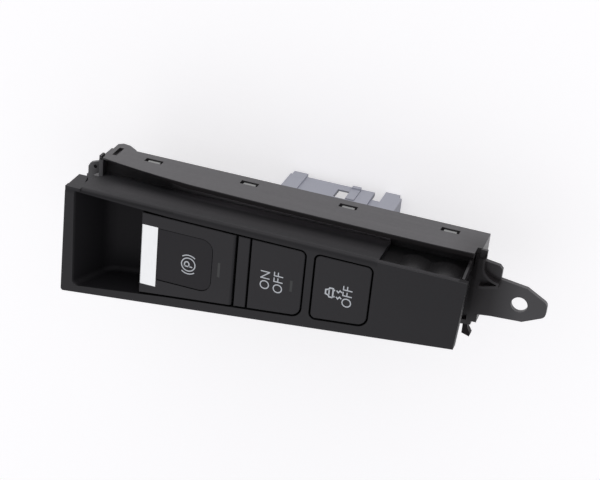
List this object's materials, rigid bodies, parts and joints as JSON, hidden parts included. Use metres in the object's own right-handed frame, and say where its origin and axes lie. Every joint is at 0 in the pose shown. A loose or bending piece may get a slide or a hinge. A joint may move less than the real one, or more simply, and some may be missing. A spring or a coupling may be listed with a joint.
{
  "type": "electric parking brake switch",
  "caption": "Tapered console switch strip: parking brake lever over a finger scoop, push buttons beside it, housing with latch windows, rear connector and pierced fixing tab.",
  "frame": {"origin": "axis of the fixing hole, in the seat plane (underside) of the fixing tab", "axes": "+Z out of the button face along the fixing hole; +X along the strip towards the fixing tab; +Y towards the tall wall with the latch windows"},
  "size_m": [0.1971, 0.0548, 0.059],
  "materials": {
    "panel_black": "fine matt grain",
    "housing_black": "moulded, slightly greyed",
    "button_black": "fine matt grain",
    "base_grey": "moulded",
    "connector_grey": "moulded",
    "slider_white": "moulded",
    "board_green": "coated board",
    "bright_strip": "bright satin",
    "lens_smoke": "smoked",
    "clear_plastic": "clear",
    "light_body": "milky",
    "dome_rubber": "soft",
    "steel": "plain",
    "tinned_metal": "tinned"
  },
  "bodies": {
    "strip": {"trim_panel": "panel_black", "housing": "housing_black", "switch_base": "base_grey", "circuit_board": "board_green", "connector_socket": "connector_grey", "connector_lock": "connector_grey", "terminal_pins": "tinned_metal", "leds": "light_body", "board_screws": "steel", "divider_strip": "button_black", "pivot_pin": "steel", "lever_spring": "steel", "lever_light_guide": "clear_plastic", "hold_light_guide": "clear_plastic", "stability_light_guide": "clear_plastic", "hold_dome": "dome_rubber", "stability_dome": "dome_rubber"},
    "lever": {"brake_lever": "button_black", "lever_strip": "bright_strip", "lever_lens": "lens_smoke"},
    "hold_key": {"hold_button": "button_black", "hold_lens": "lens_smoke"},
    "stability_key": {"stability_button": "button_black"},
    "slider": {"contact_slider": "slider_white", "slider_wipers": "tinned_metal"}
  },
  "joints": [
    {"name": "lever_pull", "type": "hinge", "parent": "strip", "child": "lever", "pos_m": [-0.11265, -0.006, 0.0154], "axis": [0, 1, 0], "range_deg": [-4, 8], "stiffness_Nm_per_rad": 2, "deforming": ["lever_spring"]},
    {"name": "hold_press", "type": "slide", "parent": "strip", "child": "hold_key", "axis": [0, 0, -1], "range_m": [0, 0.0016], "stiffness_N_per_m": 2000, "deforming": ["hold_dome"]},
    {"name": "stability_press", "type": "slide", "parent": "strip", "child": "stability_key", "axis": [0, 0, -1], "range_m": [0, 0.0016], "stiffness_N_per_m": 2000, "deforming": ["stability_dome"]},
    {"name": "slider_travel", "type": "slide", "parent": "strip", "child": "slider", "axis": [1, 0, 0], "range_m": [-0.003, 0.0016]}
  ],
  "couplings": [
    {"joint": "slider_travel", "follows": "lever_pull", "m_per_rad": -0.0207}
  ]
}
